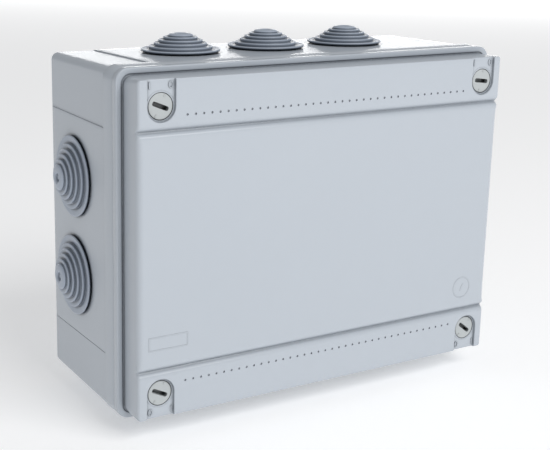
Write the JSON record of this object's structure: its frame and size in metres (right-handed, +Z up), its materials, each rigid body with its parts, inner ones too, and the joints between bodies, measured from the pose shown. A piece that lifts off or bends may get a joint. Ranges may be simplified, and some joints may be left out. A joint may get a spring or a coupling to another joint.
{
  "type": "electrical junction box",
  "caption": "Upright wall-mounted junction box: tapered back box, stepped rubber cable membranes in its walls, and a grooved lid held by slotted quarter-turn corner locks.",
  "frame": {"origin": "centre of the flat back face, which lies against the wall", "axes": "+X to the right seen from the front, +Y into the wall, +Z up; the lid faces -Y"},
  "size_m": [0.2036, 0.081, 0.1592],
  "materials": {
    "light_grey_shell": "fine satin moulded surface",
    "blue_grey_rubber": "smooth moulded",
    "pale_lock_plastic": "satin",
    "dark_seal_rubber": "matt",
    "cap_plastic": "satin"
  },
  "bodies": {
    "box": {"back_box": "light_grey_shell", "cable_membrane_top_1": "blue_grey_rubber", "cable_membrane_top_2": "blue_grey_rubber", "cable_membrane_top_3": "blue_grey_rubber", "cable_membrane_bottom_1": "blue_grey_rubber", "cable_membrane_bottom_2": "blue_grey_rubber", "cable_membrane_bottom_3": "blue_grey_rubber", "cable_membrane_left_1": "blue_grey_rubber", "cable_membrane_left_2": "blue_grey_rubber", "cable_membrane_right_1": "blue_grey_rubber", "cable_membrane_right_2": "blue_grey_rubber", "fixing_cap_top_left": "cap_plastic", "fixing_cap_top_right": "cap_plastic", "fixing_cap_bottom_left": "cap_plastic", "fixing_cap_bottom_right": "cap_plastic"},
    "lid": {"lid": "light_grey_shell", "lid_gasket": "dark_seal_rubber", "lock_seal_top_left": "dark_seal_rubber", "lock_seal_top_right": "dark_seal_rubber", "lock_seal_bottom_left": "dark_seal_rubber", "lock_seal_bottom_right": "dark_seal_rubber"},
    "lock_top_left": {"lid_lock_top_left": "pale_lock_plastic"},
    "lock_top_right": {"lid_lock_top_right": "pale_lock_plastic"},
    "lock_bottom_left": {"lid_lock_bottom_left": "pale_lock_plastic"},
    "lock_bottom_right": {"lid_lock_bottom_right": "pale_lock_plastic"}
  },
  "joints": [
    {"name": "lid_lift", "type": "slide", "parent": "box", "child": "lid", "axis": [0, -1, 0], "range_m": [0, 0.09]},
    {"name": "lock_turn_top_left", "type": "hinge", "parent": "lid", "child": "lock_top_left", "pos_m": [-0.0816, -0.0799, 0.0591], "axis": [0, 1, 0], "range_deg": [-22, 68]},
    {"name": "lock_turn_top_right", "type": "hinge", "parent": "lid", "child": "lock_top_right", "pos_m": [0.0816, -0.0799, 0.0591], "axis": [0, 1, 0], "range_deg": [-7, 83]},
    {"name": "lock_turn_bottom_left", "type": "hinge", "parent": "lid", "child": "lock_bottom_left", "pos_m": [-0.0816, -0.0799, -0.0591], "axis": [0, 1, 0], "range_deg": [-26, 64]},
    {"name": "lock_turn_bottom_right", "type": "hinge", "parent": "lid", "child": "lock_bottom_right", "pos_m": [0.0816, -0.0799, -0.0591], "axis": [0, 1, 0], "range_deg": [-38, 52]}
  ]
}
